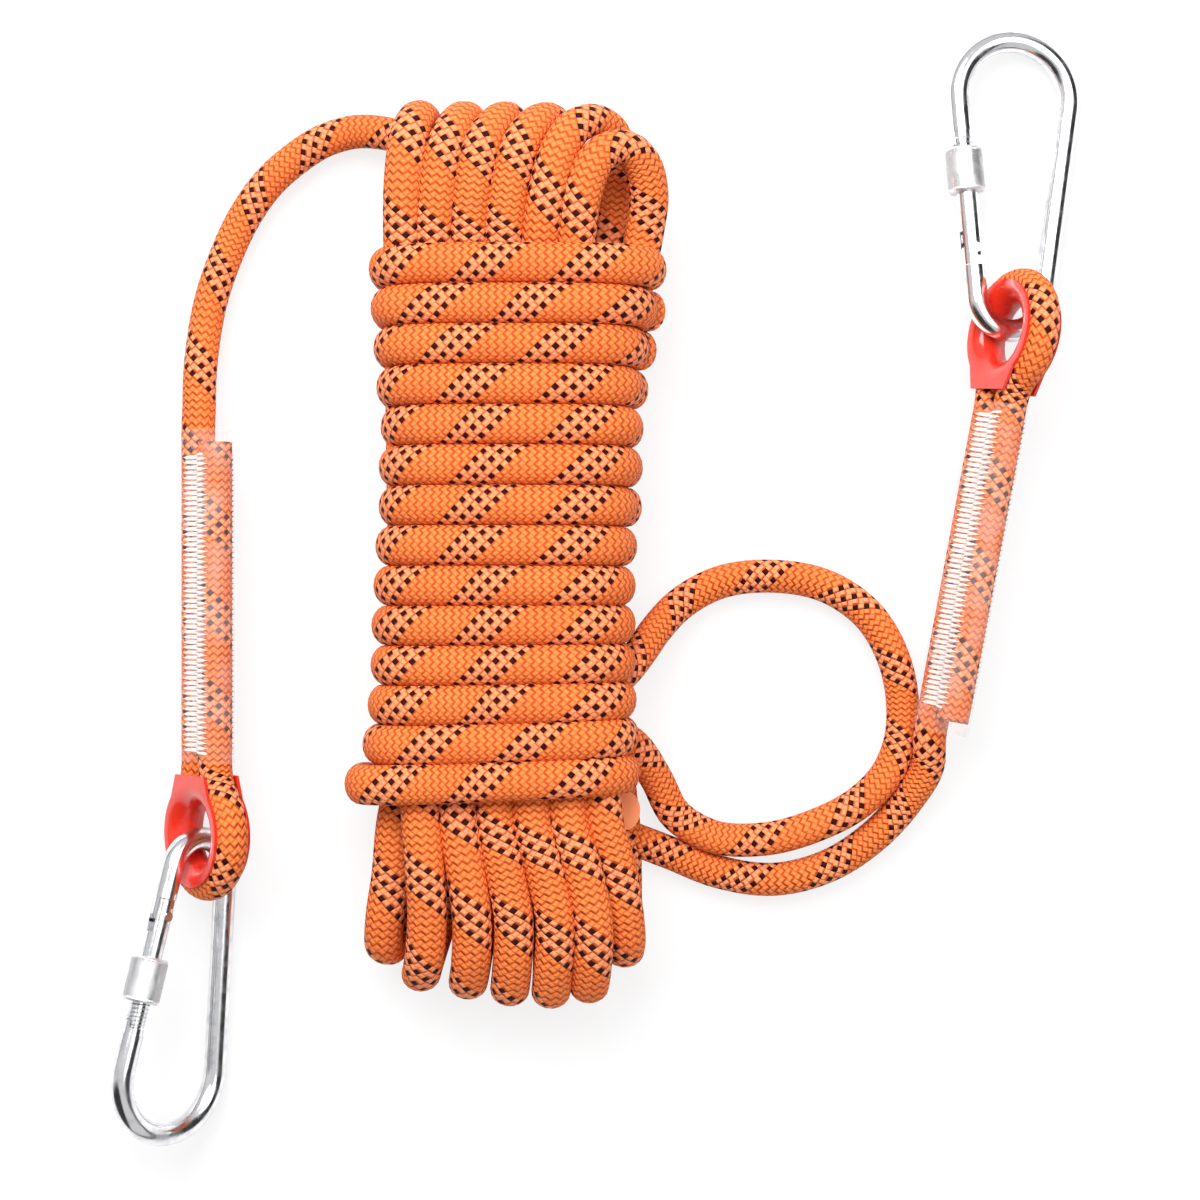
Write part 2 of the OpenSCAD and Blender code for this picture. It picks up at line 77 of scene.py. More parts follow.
class Graph:
    """Adds shader nodes to a tree and wires them together."""

    def __init__(self, tree: Tree) -> None:
        """Keep the tree that the nodes go into.

        Args:
            tree: The material's or node group's tree.
        """
        self.tree = tree

    def node(self, kind: str, *fed: object, **values: object) -> Node:
        """Add a node, set some of its properties and feed its first inputs.

        Args:
            kind: The node's type name, such as "ShaderNodeMath".
            fed: What goes into its inputs in order, with None for one that is left alone.
            values: Properties of the node by name.

        Returns:
            The new node.
        """
        made = self.tree.nodes.new(kind)
        for name, value in values.items():
            setattr(made, name, value)
        for socket, value in zip(made.inputs, fed):
            if value is not None:
                self.feed(socket, value)
        return made

    def feed(self, socket: Socket, value: object) -> None:
        """Link a socket to another one, or set its plain value.

        Args:
            socket: The input to fill.
            value: An output socket, a number or a colour.
        """
        if isinstance(value, Socket):
            self.tree.links.new(value, socket)
        elif hasattr(value, "__len__") and len(value) == 3 and socket.type == "RGBA":
            socket.default_value = (*value, 1.0)
        else:
            socket.default_value = value

    def math(self, operation: str, *fed: object) -> Socket:
        """Add a Math node.

        Args:
            operation: The Math node's operation.
            fed: Its inputs, each a socket or a number.

        Returns:
            The result's socket.
        """
        return self.node("ShaderNodeMath", *fed, operation=operation).outputs[0]

    def mix(self, share: object, a: object, b: object) -> Socket:
        """Mix two colours.

        Args:
            share: How much of the second colour shows.
            a: First colour.
            b: Second colour.

        Returns:
            The mixed colour's socket.
        """
        made = self.node("ShaderNodeMix", data_type="RGBA")
        for place, value in ((0, share), (6, a), (7, b)):
            self.feed(made.inputs[place], value)
        return made.outputs[2]

    def remap(
        self, value: object, low: float, high: float, to_low: float, to_high: float
    ) -> Socket:
        """Map a value smoothly from one range to another, clamped at both ends.

        Args:
            value: The value to map.
            low: Where the first range starts.
            high: Where the first range ends.
            to_low: Result at the start.
            to_high: Result at the end.

        Returns:
            The mapped value's socket.
        """
        fed = (value, low, high, to_low, to_high)
        made = self.node("ShaderNodeMapRange", *fed, interpolation_type="SMOOTHSTEP")
        return made.outputs[0]

    def noise(self, vector: object, scale: float, detail: float = 2.0) -> Socket:
        """Plain noise.

        Args:
            vector: Where the noise is read.
            scale: The noise's scale.
            detail: Number of octaves.

        Returns:
            The noise value's socket.
        """
        made = self.node("ShaderNodeTexNoise", vector)
        made.inputs["Scale"].default_value = scale
        made.inputs["Detail"].default_value = detail
        return made.outputs[0]

    def place(self) -> Socket:
        """Place on the object.

        Returns:
            The socket of the object's own coordinates, in metres.
        """
        return self.node("ShaderNodeTexCoord").outputs["Object"]

    def bump(self, shader: Node, height: object, strength: float, depth: float) -> None:
        """Give a shader a bump.

        Args:
            shader: The shader's node.
            height: The bump's height, from 0 to 1.
            strength: How strongly it shows.
            depth: How deep it is, in millimetres.
        """
        made = self.node("ShaderNodeBump")
        made.inputs["Strength"].default_value = strength
        made.inputs["Distance"].default_value = depth * MM
        self.feed(made.inputs["Height"], height)
        self.feed(shader.inputs["Normal"], made.outputs[0])


def new_group(
    name: str, inputs: dict[str, str], outputs: dict[str, str]
) -> tuple[Tree, Graph, Node, Node]:
    """Start a shader node group.

    Args:
        name: The group's name.
        inputs: Socket names and types of what goes in.
        outputs: Socket names and types of what comes out.

    Returns:
        The group, a graph that adds to it, and its input and output nodes.
    """
    group = bpy.data.node_groups.new(name, "ShaderNodeTree")
    for label, kind in inputs.items():
        group.interface.new_socket(name=label, in_out="INPUT", socket_type=kind)
    for label, kind in outputs.items():
        group.interface.new_socket(name=label, in_out="OUTPUT", socket_type=kind)
    graph = Graph(group)
    return group, graph, graph.node("NodeGroupInput"), graph.node("NodeGroupOutput")


def braid_group() -> Tree:
    """Plain tubular braid on a rope's own map: turns round the rope, and millimetres along it.

    Returns:
        The node group with a height, the black yarns, the pale yarns beside them and the painted
        shade in the grooves.
    """
    group, g, into, out = new_group(
        "braid",
        {"Map": VECTOR, "Carriers": FLOAT, "Cell Length": FLOAT},
        {"Height": FLOAT, "Black": FLOAT, "Pale": FLOAT, "Groove Shade": FLOAT},
    )
    axes = g.node("ShaderNodeSeparateXYZ", into.outputs["Map"])
    round_ = g.math("MULTIPLY", axes.outputs[0], into.outputs["Carriers"])
    along = g.math("DIVIDE", axes.outputs[1], into.outputs["Cell Length"])
    a, b = g.math("SUBTRACT", round_, along), g.math("ADD", round_, along)
    i, j = g.math("FLOOR", a), g.math("FLOOR", b)
    fa, fb = g.math("SUBTRACT", a, i), g.math("SUBTRACT", b, j)
    odd = g.math("FLOORED_MODULO", g.math("ADD", i, j), 2.0)
    over = g.math("SUBTRACT", 1.0, odd)

    def choose(first: object, second: object) -> Socket:
        """Pick a value by the yarn that lies on top.

        Args:
            first: Value where the first family of yarns is on top.
            second: Value where the second family is on top.

        Returns:
            The picked value's socket.
        """
        return g.math("ADD", g.math("MULTIPLY", first, over), g.math("MULTIPLY", second, odd))

    def to_edge(share: object) -> Socket:
        """Distance to the nearer edge of a cell.

        Args:
            share: Place across the cell, from 0 to 1.

        Returns:
            The distance's socket, from 0 to 0.5.
        """
        return g.math("MINIMUM", share, g.math("SUBTRACT", 1.0, share))

    across, length = choose(fa, fb), choose(fb, fa)
    # Each yarn dives under the next at its start; painted shade darkens it there, along its sides
    # and at its end, which draws zigzag lines across the rope, and the same mask sets the bump's
    # height
    start = g.remap(length, 0.0, 0.45, 1.0, 0.0)
    rim_shade = g.remap(to_edge(across), 0.0, 0.2, 0.4, 0.0)
    groove_shade = g.math("MAXIMUM", start, g.math("MAXIMUM", rim_shade, g.remap(length, 0.75, 1.0, 0.0, 0.3)))
    edge = g.math("MINIMUM", to_edge(fa), to_edge(fb))
    carrier = g.math("FLOORED_MODULO", i, into.outputs["Carriers"])
    band = g.math("LESS_THAN", carrier, BAND_STOP + 0.5)
    even = g.math("SUBTRACT", 1.0, g.math("FLOORED_MODULO", carrier, 2.0))
    black = g.math("MULTIPLY", g.math("MULTIPLY", band, even), over)
    g.feed(out.inputs["Height"], g.math("SUBTRACT", 1.0, groove_shade))
    g.feed(out.inputs["Black"], g.math("MULTIPLY", black, g.remap(edge, 0.0, 0.05, 0.0, 1.0)))
    g.feed(out.inputs["Pale"], g.math("MULTIPLY", band, g.math("SUBTRACT", 1.0, black)))
    g.feed(out.inputs["Groove Shade"], groove_shade)
    return group


@dataclass(frozen=True)
class BraidFinish:
    """Braided polyester sheath."""

    yarn: Point = (0.92, 0.245, 0.062)
    # Darker orange: painted shade in the grooves between yarns, also used for random mottle
    groove_shade: Point = (0.56, 0.045, 0.006)
    pale: Point = (0.97, 0.34, 0.16)
    black: Point = (0.030, 0.003, 0.002)

    def make(self, group: Tree) -> Material:
        """Build the material.

        Args:
            group: The braid's node group.

        Returns:
            The material.
        """
        material, g, shader = principled("braided_sheath", 0.62)
        shader.inputs["Specular IOR Level"].default_value = 0.12
        uv = g.node("ShaderNodeUVMap", uv_map="braid")
        braid = g.node("ShaderNodeGroup", uv.outputs[0], CARRIERS, CELL, node_tree=group)
        place = g.place()
        cloud = g.noise(place, 55.0, 3.0)
        # Painted shade: the braid's grooves are darkened towards the darker orange
        body = g.mix(braid.outputs["Groove Shade"], self.yarn, self.groove_shade)
        # Random mottle, darker towards the same colour
        body = g.mix(g.remap(cloud, 0.35, 0.7, 0.0, 0.12), body, self.groove_shade)
        lit = g.remap(braid.outputs["Height"], 0.2, 0.9, 0.1, 0.75)
        body = g.mix(g.math("MULTIPLY", braid.outputs["Pale"], lit), body, self.pale)
        body = g.mix(braid.outputs["Black"], body, self.black)
        g.feed(shader.inputs["Base Color"], body)
        fibre = g.noise(place, 2600.0, 2.0)
        g.bump(shader, g.math("MULTIPLY_ADD", fibre, 0.12, braid.outputs["Height"]), 0.9, 0.7)
        return material


def principled(
    name: str, roughness: float, metallic: float = 0.0
) -> tuple[Material, Graph, Node]:
    """Start a material with one Principled shader.

    Args:
        name: The material's name.
        roughness: The shader's roughness.
        metallic: The shader's metallic value.

    Returns:
        The material, a graph that adds to it, and the shader's node.
    """
    material = bpy.data.materials.new(name)
    material.use_nodes = True
    shader = material.node_tree.nodes["Principled BSDF"]
    shader.inputs["Roughness"].default_value = roughness
    shader.inputs["Metallic"].default_value = metallic
    return material, Graph(material.node_tree), shader


@dataclass(frozen=True)
class SteelFinish:
    """Polished zinc-plated steel wire with fine drawing marks."""

    name: str = "zinc_steel"
    color: Point = (0.84, 0.84, 0.86)
    shade: Point = (0.50, 0.51, 0.56)
    roughness: float = 0.16
    marks: float = 0.06
    metallic: float = 1.0

    def make(self) -> Material:
        """Build the material.

        Returns:
            The material.
        """
        material, g, shader = principled(self.name, self.roughness, self.metallic)
        place = g.place()
        cloud = g.noise(place, 260.0, 4.0)
        body = g.mix(g.remap(cloud, 0.4, 0.75, 0.0, 0.5), self.color, self.shade)
        g.feed(shader.inputs["Base Color"], body)
        dull = g.remap(cloud, 0.3, 0.8, self.roughness * 0.7, self.roughness * 1.9)
        g.feed(shader.inputs["Roughness"], dull)
        g.bump(shader, g.noise(place, 420.0, 3.0), 0.35, self.marks)
        return material


@dataclass(frozen=True)
class ThimbleFinish:
    """Glossy moulded plastic."""

    color: Point = (0.74, 0.03, 0.012)
    dark: Point = (0.55, 0.014, 0.007)

    def make(self) -> Material:
        """Build the material.

        Returns:
            The material.
        """
        material, g, shader = principled("thimble_plastic", 0.22)
        place = g.place()
        cloud = g.noise(place, 90.0, 2.0)
        body = g.mix(g.remap(cloud, 0.35, 0.7, 0.0, 0.35), self.color, self.dark)
        g.feed(shader.inputs["Base Color"], body)
        g.feed(shader.inputs["Roughness"], g.remap(cloud, 0.3, 0.75, 0.16, 0.32))
        shader.inputs["Coat Weight"].default_value = 0.3
        g.bump(shader, g.noise(place, 240.0, 2.0), 0.2, 0.1)
        return material


@dataclass(frozen=True)
class SleeveFinish:
    """Clear heat-shrink sleeve with a pinkish-white haze."""

    color: Point = (0.98, 0.80, 0.75)

    def make(self) -> Material:
        """Build the material.

        Returns:
            The material.
        """
        material, g, shader = principled("clear_sleeve", 0.25)
        place = g.place()
        haze = g.noise(place, 120.0, 3.0)
        g.feed(shader.inputs["Base Color"], self.color)
        g.feed(shader.inputs["Alpha"], g.remap(haze, 0.35, 0.7, 0.03, 0.11))
        g.feed(shader.inputs["Roughness"], g.remap(haze, 0.3, 0.8, 0.12, 0.35))
        g.bump(shader, g.noise(place, 160.0, 2.0), 0.4, 0.25)
        return material


@dataclass(frozen=True)
class ThreadFinish:
    """White twisted sewing thread or core yarn."""

    name: str = "white_thread"
    color: Point = (0.92, 0.88, 0.86)
    shade: Point = (0.70, 0.60, 0.56)
    twist: float = 900.0

    def make(self) -> Material:
        """Build the material.

        Returns:
            The material.
        """
        material, g, shader = principled(self.name, 0.7)
        shader.inputs["Sheen Weight"].default_value = 0.2
        place = g.place()
        fibres = g.noise(place, self.twist, 3.0)
        body = g.mix(g.remap(fibres, 0.35, 0.7, 0.0, 0.6), self.color, self.shade)
        g.feed(shader.inputs["Base Color"], body)
        g.bump(shader, fibres, 0.5, 0.15)
        return material


def spline(points: Route, step: float = 2.2) -> np.ndarray:
    """Smooth line through given points, with rings about evenly spaced.

    Args:
        points: The points to pass through, in millimetres.
        step: Distance between the rings, in millimetres.

    Returns:
        The line's points, one row each.
    """
    p = np.asarray(points, float)
    gaps = np.linalg.norm(np.diff(p, axis=0), axis=1)[:, None]
    slopes = np.diff(p, axis=0) / gaps
    inner = (slopes[:-1] * gaps[1:] + slopes[1:] * gaps[:-1]) / (gaps[:-1] + gaps[1:])
    tangents = np.vstack([slopes[:1], inner, slopes[-1:]])
    t = np.linspace(0, 1, 24, endpoint=False)[:, None]
    dense = [
        (2 * t**3 - 3 * t**2 + 1) * a
        + (t**3 - 2 * t**2 + t) * gap * m
        + (3 * t**2 - 2 * t**3) * b
        + (t**3 - t**2) * gap * n
        for a, b, m, n, gap in zip(p, p[1:], tangents, tangents[1:], gaps)
    ]
    line = np.vstack([*dense, p[-1:]])
    run = run_along(line)
    return pick(line, run, np.linspace(0, run[-1], max(3, int(round(run[-1] / step)) + 1)))


def run_along(line: np.ndarray) -> np.ndarray:
    """Distance from a line's start to each of its points.

    Args:
        line: The line's points, one row each.

    Returns:
        The distances, in the points' unit.
    """
    return np.concatenate([[0], np.cumsum(np.linalg.norm(np.diff(line, axis=0), axis=1))])


def pick(rows: np.ndarray, run: np.ndarray, places: np.ndarray) -> np.ndarray:
    """Read rows of three values at other places along a line.

    Args:
        rows: The values at the line's points.
        run: Distance along the line at each of its points.
        places: Distances at which the values are wanted.

    Returns:
        The values there, one row each.
    """
    return np.column_stack([np.interp(places, run, rows[:, k]) for k in range(3)])


@dataclass
class RopePiece:
    """One stretch of rope that follows a line.

    Attributes:
        name: The piece's name.
        line: Centres of its rings, in millimetres.
        radius: The rope's radius.
        sides: Number of faces round the rope.
        turns: Turns of braid that are laid once round the rope.
        stretch: How much wider the rope is along X, Y and Z.
        marks: Places in plan where the middle of a black band crosses the top of the rope.
        above: Only rings higher than this can meet a mark.
        squeeze: Half thickness and half width where the rope is pressed flat, or None.
        upright: Direction that the squeezed thickness lies along at each ring.
    """

    name: str
    line: np.ndarray
    radius: float = 5.25
    sides: int = 20
    turns: float = 1.0
    stretch: Point = (1.0, 1.0, 1.0)
    marks: Route = ()
    above: float = -100.0
    squeeze: tuple[float, float] | None = None
    upright: np.ndarray | None = None

    def frames(self) -> tuple[np.ndarray, np.ndarray]:
        """Two directions across the rope at each ring, without twist along it.

        Returns:
            The first and second direction, one row per ring.
        """
        along = np.gradient(self.line, axis=0)
        along /= np.linalg.norm(along, axis=1)[:, None]
        if self.upright is not None:
            first = self.upright - (self.upright * along).sum(1)[:, None] * along
            first /= np.linalg.norm(first, axis=1)[:, None]
            return first, np.cross(along, first)
        seed = np.cross(along[0], (0.0, 0.0, 1.0))
        if np.linalg.norm(seed) < 0.05:
            seed = np.cross(along[0], (1.0, 0.0, 0.0))
        rows = [seed / np.linalg.norm(seed)]
        for t in along[1:]:
            kept = rows[-1] - rows[-1].dot(t) * t
            rows.append(kept / np.linalg.norm(kept))
        first = np.array(rows)
        return first, np.cross(along, first)

    def braid_run(self, top: np.ndarray) -> np.ndarray:
        """Place along the braid at each ring, so that black bands cross the rope at its marks.

        Args:
            top: The braid map's first value at the top of each ring.

        Returns:
            Millimetres along the braid, one for each ring.
        """
        run = run_along(self.line)
        far = 1000.0
        hidden = np.where(self.line[:, 2] > self.above, 0.0, far)
        rings = sorted({
            int((np.linalg.norm(self.line[:, :2] - mark, axis=1) + hidden).argmin())
            for mark in self.marks
        })
        places, values = [0.0], [0.0]
        for ring in rings:
            wanted = CELL * (CARRIERS * top[ring] - BAND)
            guess = values[-1] + run[ring] - places[-1]
            values.append(wanted + CELL * CARRIERS * round((guess - wanted) / (CELL * CARRIERS)))
            places.append(float(run[ring]))
        if rings:
            # Before the first mark and after the last one the braid runs on evenly
            values[0] = values[1] - places[1]
        places.append(run[-1] + 1.0)
        values.append(values[-1] + places[-1] - places[-2])
        return np.interp(run, places, values)

    def build(self) -> Object:
        """Make the rope's mesh with its braid map.

        Returns:
            The new object, at the origin.
        """
        first, second = self.frames()
        a = np.linspace(-math.pi, math.pi, self.sides + 1)
        across, up = (self.radius, self.radius) if self.squeeze is None else self.squeeze
        walk = np.hypot(np.diff(across * np.cos(a)), np.diff(up * np.sin(a)))
        share = self.turns * (0.5 - np.concatenate([[0], np.cumsum(walk)]) / walk.sum())
        cosine, sine = np.cos(a[:-1])[None, :, None], np.sin(a[:-1])[None, :, None]
        ring = across * cosine * first[:, None, :] + up * sine * second[:, None, :]
        places = ((self.line[:, None, :] + ring * np.array(self.stretch)) * MM).reshape(-1, 3)
        top = np.interp(np.arctan2(second[:, 2], first[:, 2]), a, share)
        run = self.braid_run(top)
        rings, s = len(self.line), self.sides
        faces, maps = [], []
        for r in range(rings - 1):
            for k in range(s):
                n = (k + 1) % s
                faces.append((r * s + k, r * s + n, (r + 1) * s + n, (r + 1) * s + k))
                u, w = share[k], share[k + 1]
                maps += [(u, run[r]), (w, run[r]), (w, run[r + 1]), (u, run[r + 1])]
        for r, flip in ((0, True), (rings - 1, False)):
            loop = [r * s + k for k in range(s)]
            faces.append(tuple(reversed(loop)) if flip else tuple(loop))
            maps += [(0.5, run[r])] * s
        mesh = bpy.data.meshes.new(self.name)
        mesh.from_pydata(places.tolist(), [], faces)
        mesh.uv_layers.new(name="braid").data.foreach_set("uv", np.array(maps, np.float32).ravel())
        mesh.polygons.foreach_set("use_smooth", [True] * (len(faces) - 2) + [False] * 2)
        mesh.update()
        return link(self.name, mesh)


@dataclass
class Rope:
    """Common facts of the whole rope."""

    diameter: float = 10.5
    body: str = "rope_coil"
    slot: str = "rope_sheath"
    material: Material | None = None

    def lay_out(self, piece: RopePiece, replaced: Sequence[str], lay: str) -> Object:
        """Args:
            piece: The stretch of rope.
            replaced: Names of the solids that it stands for.
            lay: How the rope lies there; not used.

        Returns:
            The rope's object.
        """
        made = piece.build()
        made.data.materials.append(self.material)
        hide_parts(*replaced)
        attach(made, self.body)
        return made


# The hank's bights: the rope's route from its front to its back round each one
TOP_STRANDS = (
    ((-62.1, 100, 36.5), (-62.1, 110, 38.5), (-61.8, 122, 39.5), (-61, 132, 38),
     (-59.4, 140.5, 33), (-57.8, 144.4, 25.5), (-56.5, 141, 17.5), (-56, 132, 12.5),
     (-56, 118, 12), (-56.5, 104, 14)),
    ((-52.6, 100, 36.5), (-52.4, 110, 38.8), (-51.3, 122, 40), (-49.3, 132.5, 38.5),
     (-46.3, 140.5, 33), (-43.8, 144.2, 25.5), (-42.6, 141, 17.5), (-42.8, 132, 12.5),
     (-44, 118, 12), (-45, 104, 14)),
    ((-42.3, 100, 36.5), (-42, 110, 38.8), (-40.7, 122, 40), (-38.4, 132.5, 38.5),
     (-34.6, 140.5, 33), (-31, 144, 25.5), (-29.6, 141, 17.5), (-30.2, 132, 12.5), (-32, 118, 12),
     (-33, 104, 14)),
    ((-31.7, 100, 36.5), (-31.2, 110, 38.8), (-29.5, 122, 40), (-26.8, 132.5, 38.5),
     (-22.4, 140.5, 33.5), (-18, 143.6, 26), (-16, 140.6, 18), (-17, 132, 12.5), (-19.5, 118, 12),
     (-21, 104, 14)),
    ((-20.4, 100, 36.5), (-19.8, 110, 38.8), (-17.6, 121.5, 40), (-14.3, 132.5, 39),
     (-9.6, 139.8, 35.5), (-3.9, 142.4, 30), (1.4, 139.6, 23.5), (3.2, 132.5, 18), (2, 121, 15),
     (0.5, 108, 15), (-1, 100, 15)),
    ((-9.6, 100, 36.5), (-9, 109, 38.5), (-7.6, 118.5, 40), (-5.2, 125.8, 40), (-1.2, 131.4, 39),
     (5.2, 133.4, 36.5), (10.4, 129.4, 32.5), (12.9, 120.9, 28.5), (11.6, 108.5, 25.5),
     (9.5, 98, 24)),
)
BOTTOM_STRANDS = (
    ((-62.5, -62, 27), (-64.7, -71, 27), (-66.7, -90, 26), (-68.8, -104, 24), (-69.2, -112.4, 19),
     (-67.5, -113.5, 12.5), (-65.5, -106, 8), (-64, -90, 7), (-62, -74, 9), (-61, -62, 12)),
    ((-57.5, -62, 36.5), (-56.6, -72, 38), (-55.4, -87, 38.5), (-54.8, -102, 37),
     (-56, -114.5, 32), (-57.5, -120.6, 24.5), (-57, -118, 15.5), (-54, -108, 9), (-50, -90, 7.5),
     (-49, -74, 9), (-50, -62, 12)),
    ((-46, -62, 36.5), (-45.3, -72, 38), (-42.9, -87, 39), (-41.1, -102, 38), (-41.7, -116, 32.5),
     (-42.9, -123, 25), (-42.6, -121, 15.5), (-41, -110, 9), (-39, -90, 7.5), (-38.5, -74, 9),
     (-39, -62, 12)),
    ((-35, -62, 36.5), (-34.1, -72, 38), (-31, -87, 39), (-28.4, -102, 38), (-29.1, -117.6, 32.5),
     (-30, -125.1, 25), (-29.8, -123, 15.5), (-29, -111, 9), (-27.5, -90, 7.5), (-27, -74, 9),
     (-28, -62, 12)),
    ((-23.5, -62, 36.5), (-22.8, -72, 38), (-18.9, -87, 39), (-15.8, -102, 38),
     (-16.5, -118.6, 32.5), (-17.3, -125.8, 25), (-17.2, -123.5, 15.5), (-17, -111, 9),
     (-16, -90, 7.5), (-16, -74, 9), (-17, -62, 12)),
    ((-12.3, -62, 36.5), (-11.6, -72, 38), (-7.3, -87, 39), (-4.3, -102, 38), (-4.6, -117.2, 32.5),
     (-5.5, -124.3, 25), (-5.4, -122, 15.5), (-5, -110, 9), (-5, -90, 7.5), (-5, -74, 9),
     (-6, -62, 12)),
    ((-2, -62, 35.5), (-1.2, -71, 36), (3.1, -87.3, 34), (5.2, -101, 31), (5.9, -110.5, 26),
     (5.4, -114, 19.5), (5, -111.5, 12.5), (5, -102, 8.5), (5, -90, 7.5), (4.5, -76, 9),
     (3, -62, 12)),
)


@dataclass
class Hank:
    """The bound hank: strands with their bights, and the wraps round them."""

    rope: Rope
    middle_height: float = 25.55
    top_strands: Sequence[Route] = TOP_STRANDS
    bottom_strands: Sequence[Route] = BOTTOM_STRANDS
    wrap_count: int = 14
    wrap_pitch: float = 12.17
    wrap_middle: float = 17.92
    wrap_top: float = 20.85
    wrap_half: tuple[float, float] = (6.12, 4.72)
    wrap_power: tuple[float, float] = (3.4, 2.9)
    wrap_left: Point = (
        -73.4, -72.8, -71.9, -71.0, -69.7, -70.3, -70.3, -71.3, -71.9, -72.5, -72.8, -73.7, -75.3,
        -80.8,
    )
    wrap_right: Point = (
        18.4, 15.6, 13.0, 11.5, 11.2, 11.0, 9.5, 9.0, 8.9, 8.9, 8.9, 9.2, 9.9, 10.4,
    )
    wrap_rise: Point = (0, 0, 0, 0, 0, 0, 0, 0, 0, 0.4, 0.8, 1.4, 2.4, 3.4)
    strand_marks: Route = (
        (-66.9, -93.7), (-55, -91.1), (-40.8, -100.5), (-28.7, -103.2), (-16, -105.9),
        (-4.6, -108), (3.3, -88.9), (-61.3, 134.8), (-61.6, 108.2), (-49.6, 132.4),
        (-53.5, 107.6), (-38.7, 131.2), (-43.2, 107.6), (-27.2, 129.3), (-33.5, 107.3),
        (-18.7, 118.8), (-10, 112.1),
    )
    wrap_marks: Route = (
        (-5.1, 96.6), (-36, 96.6), (6, 83.7), (-23.7, 84), (-51.3, 84), (-14.4, 72),
        (-45, 72), (-10.2, 60.6), (-41.1, 61.2), (-8.7, 48.3), (-39.9, 48.3), (-6, 35.4),
        (-36.9, 35.4), (-8.1, 24.6), (-39, 24.6), (-10.5, 12), (-41.7, 12), (-6.6, 1),
        (-36.9, 0.7), (-5.4, -12.2), (-35.4, -12.2), (-4.5, -23.9), (-34.5, -23.9), (-62.1, -23.9),
        (-4.5, -35.3), (-33.6, -36.5), (3.3, -46.1), (-23.7, -47.3), (-54.3, -47.6), (-7.2, -58.1),
        (-37.5, -59.3), (-65.4, -59.6),
    )

    def strand_line(self) -> np.ndarray:
        """Run the rope through all the bights, from its hidden start to its hidden end.

        Returns:
            The rope's line.
        """
        points: list[Point] = []
        for k, bottom in enumerate(self.bottom_strands):
            points += bottom
            if k < len(self.top_strands):
                points += list(reversed(self.top_strands[k]))
        return spline(points, 2.4)

    def wrap_line(self) -> tuple[np.ndarray, np.ndarray]:
        """Line of the wraps, and at each ring the direction out of the hank.

        Returns:
            The line and the outward directions.
        """
        places, outward = [], []
        steps, step, last = 132, 2.2, self.wrap_count - 1
        for k in range(self.wrap_count):
            y = self.wrap_middle + (last / 2 - k) * self.wrap_pitch
            left = self.wrap_left[k] + self.wrap_half[1]
            right = self.wrap_right[k] - self.wrap_half[1]
            for t in np.linspace(0, 1, steps, endpoint=False):
                # Over the top from right to left, then back underneath to where the next one starts
                c, s = math.cos(2 * math.pi * t), math.sin(2 * math.pi * t)
                wide, tall = (
                    math.copysign(abs(v) ** (2 / p), v) for v, p in zip((c, s), self.wrap_power)
                )
                x = (left + right) / 2 + (right - left) / 2 * wide
                z = self.middle_height + self.wrap_top * tall
                under = max(2 * t - 1, 0)
                under = 3 * under**2 - 2 * under**3
                rise = self.wrap_rise[k]
                rise = rise + (self.wrap_rise[min(k + 1, last)] - rise) * under
                y_here = y - self.wrap_pitch * under + rise * (x - left) / (right - left)
                places.append((x, y_here, z))
                outward.append((c * 0.5, 0.0, s))
        line = np.array(places)
        run = run_along(line)
        at = np.linspace(0, run[-1], int(run[-1] / step))
        return pick(line, run, at), pick(np.array(outward), run, at)

    def build(self) -> list[Object]:
        """Build the strands and the wraps.

        Returns:
            The two rope objects.
        """
        strands = RopePiece(
            "hank_strands", self.strand_line(), self.rope.diameter / 2, sides=18,
            stretch=(1.16, 1.0, 0.97), marks=self.strand_marks, above=24,
        )
        line, out = self.wrap_line()
        wraps = RopePiece(
            "hank_binding", line, self.rope.diameter / 2, turns=1.08,
            squeeze=(self.wrap_half[1], self.wrap_half[0]), upright=out,
            marks=self.wrap_marks, above=self.middle_height + 8,
        )
        return [
            self.rope.lay_out(strands, ["hank_loops"], "coiled"),
            self.rope.lay_out(wraps, ["hank_wraps"], "coiled"),
        ]


